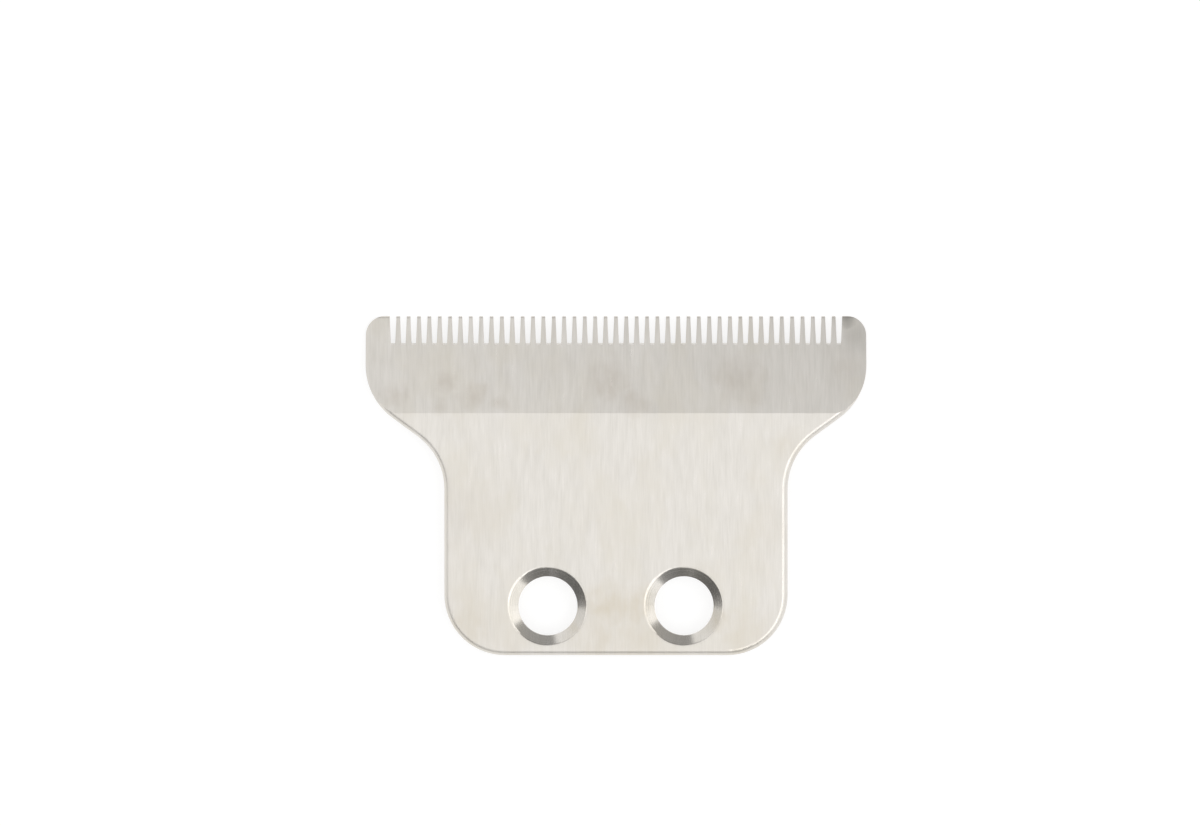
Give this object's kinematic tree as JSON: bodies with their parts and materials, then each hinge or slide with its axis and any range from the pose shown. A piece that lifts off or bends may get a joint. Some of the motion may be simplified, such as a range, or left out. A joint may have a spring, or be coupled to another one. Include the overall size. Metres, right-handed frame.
{
  "type": "hair clipper blade",
  "caption": "Flat T-shaped fixed blade of a hair clipper: a ground steel plate with a fine comb of teeth along its wide bevelled edge and countersunk screw holes in its neck.",
  "frame": {"origin": "midway between the two screw holes, on the flat seat face", "axes": "+X along the cutting edge, +Y towards the tooth tips, +Z out of the side that meets the skin"},
  "size_m": [0.0382, 0.0259, 0.0018],
  "materials": {
    "ground_steel": "surface ground along the teeth, satin, slightly tarnished"
  },
  "bodies": {
    "root": {"fixed_blade": "ground_steel"}
  },
  "joints": []
}
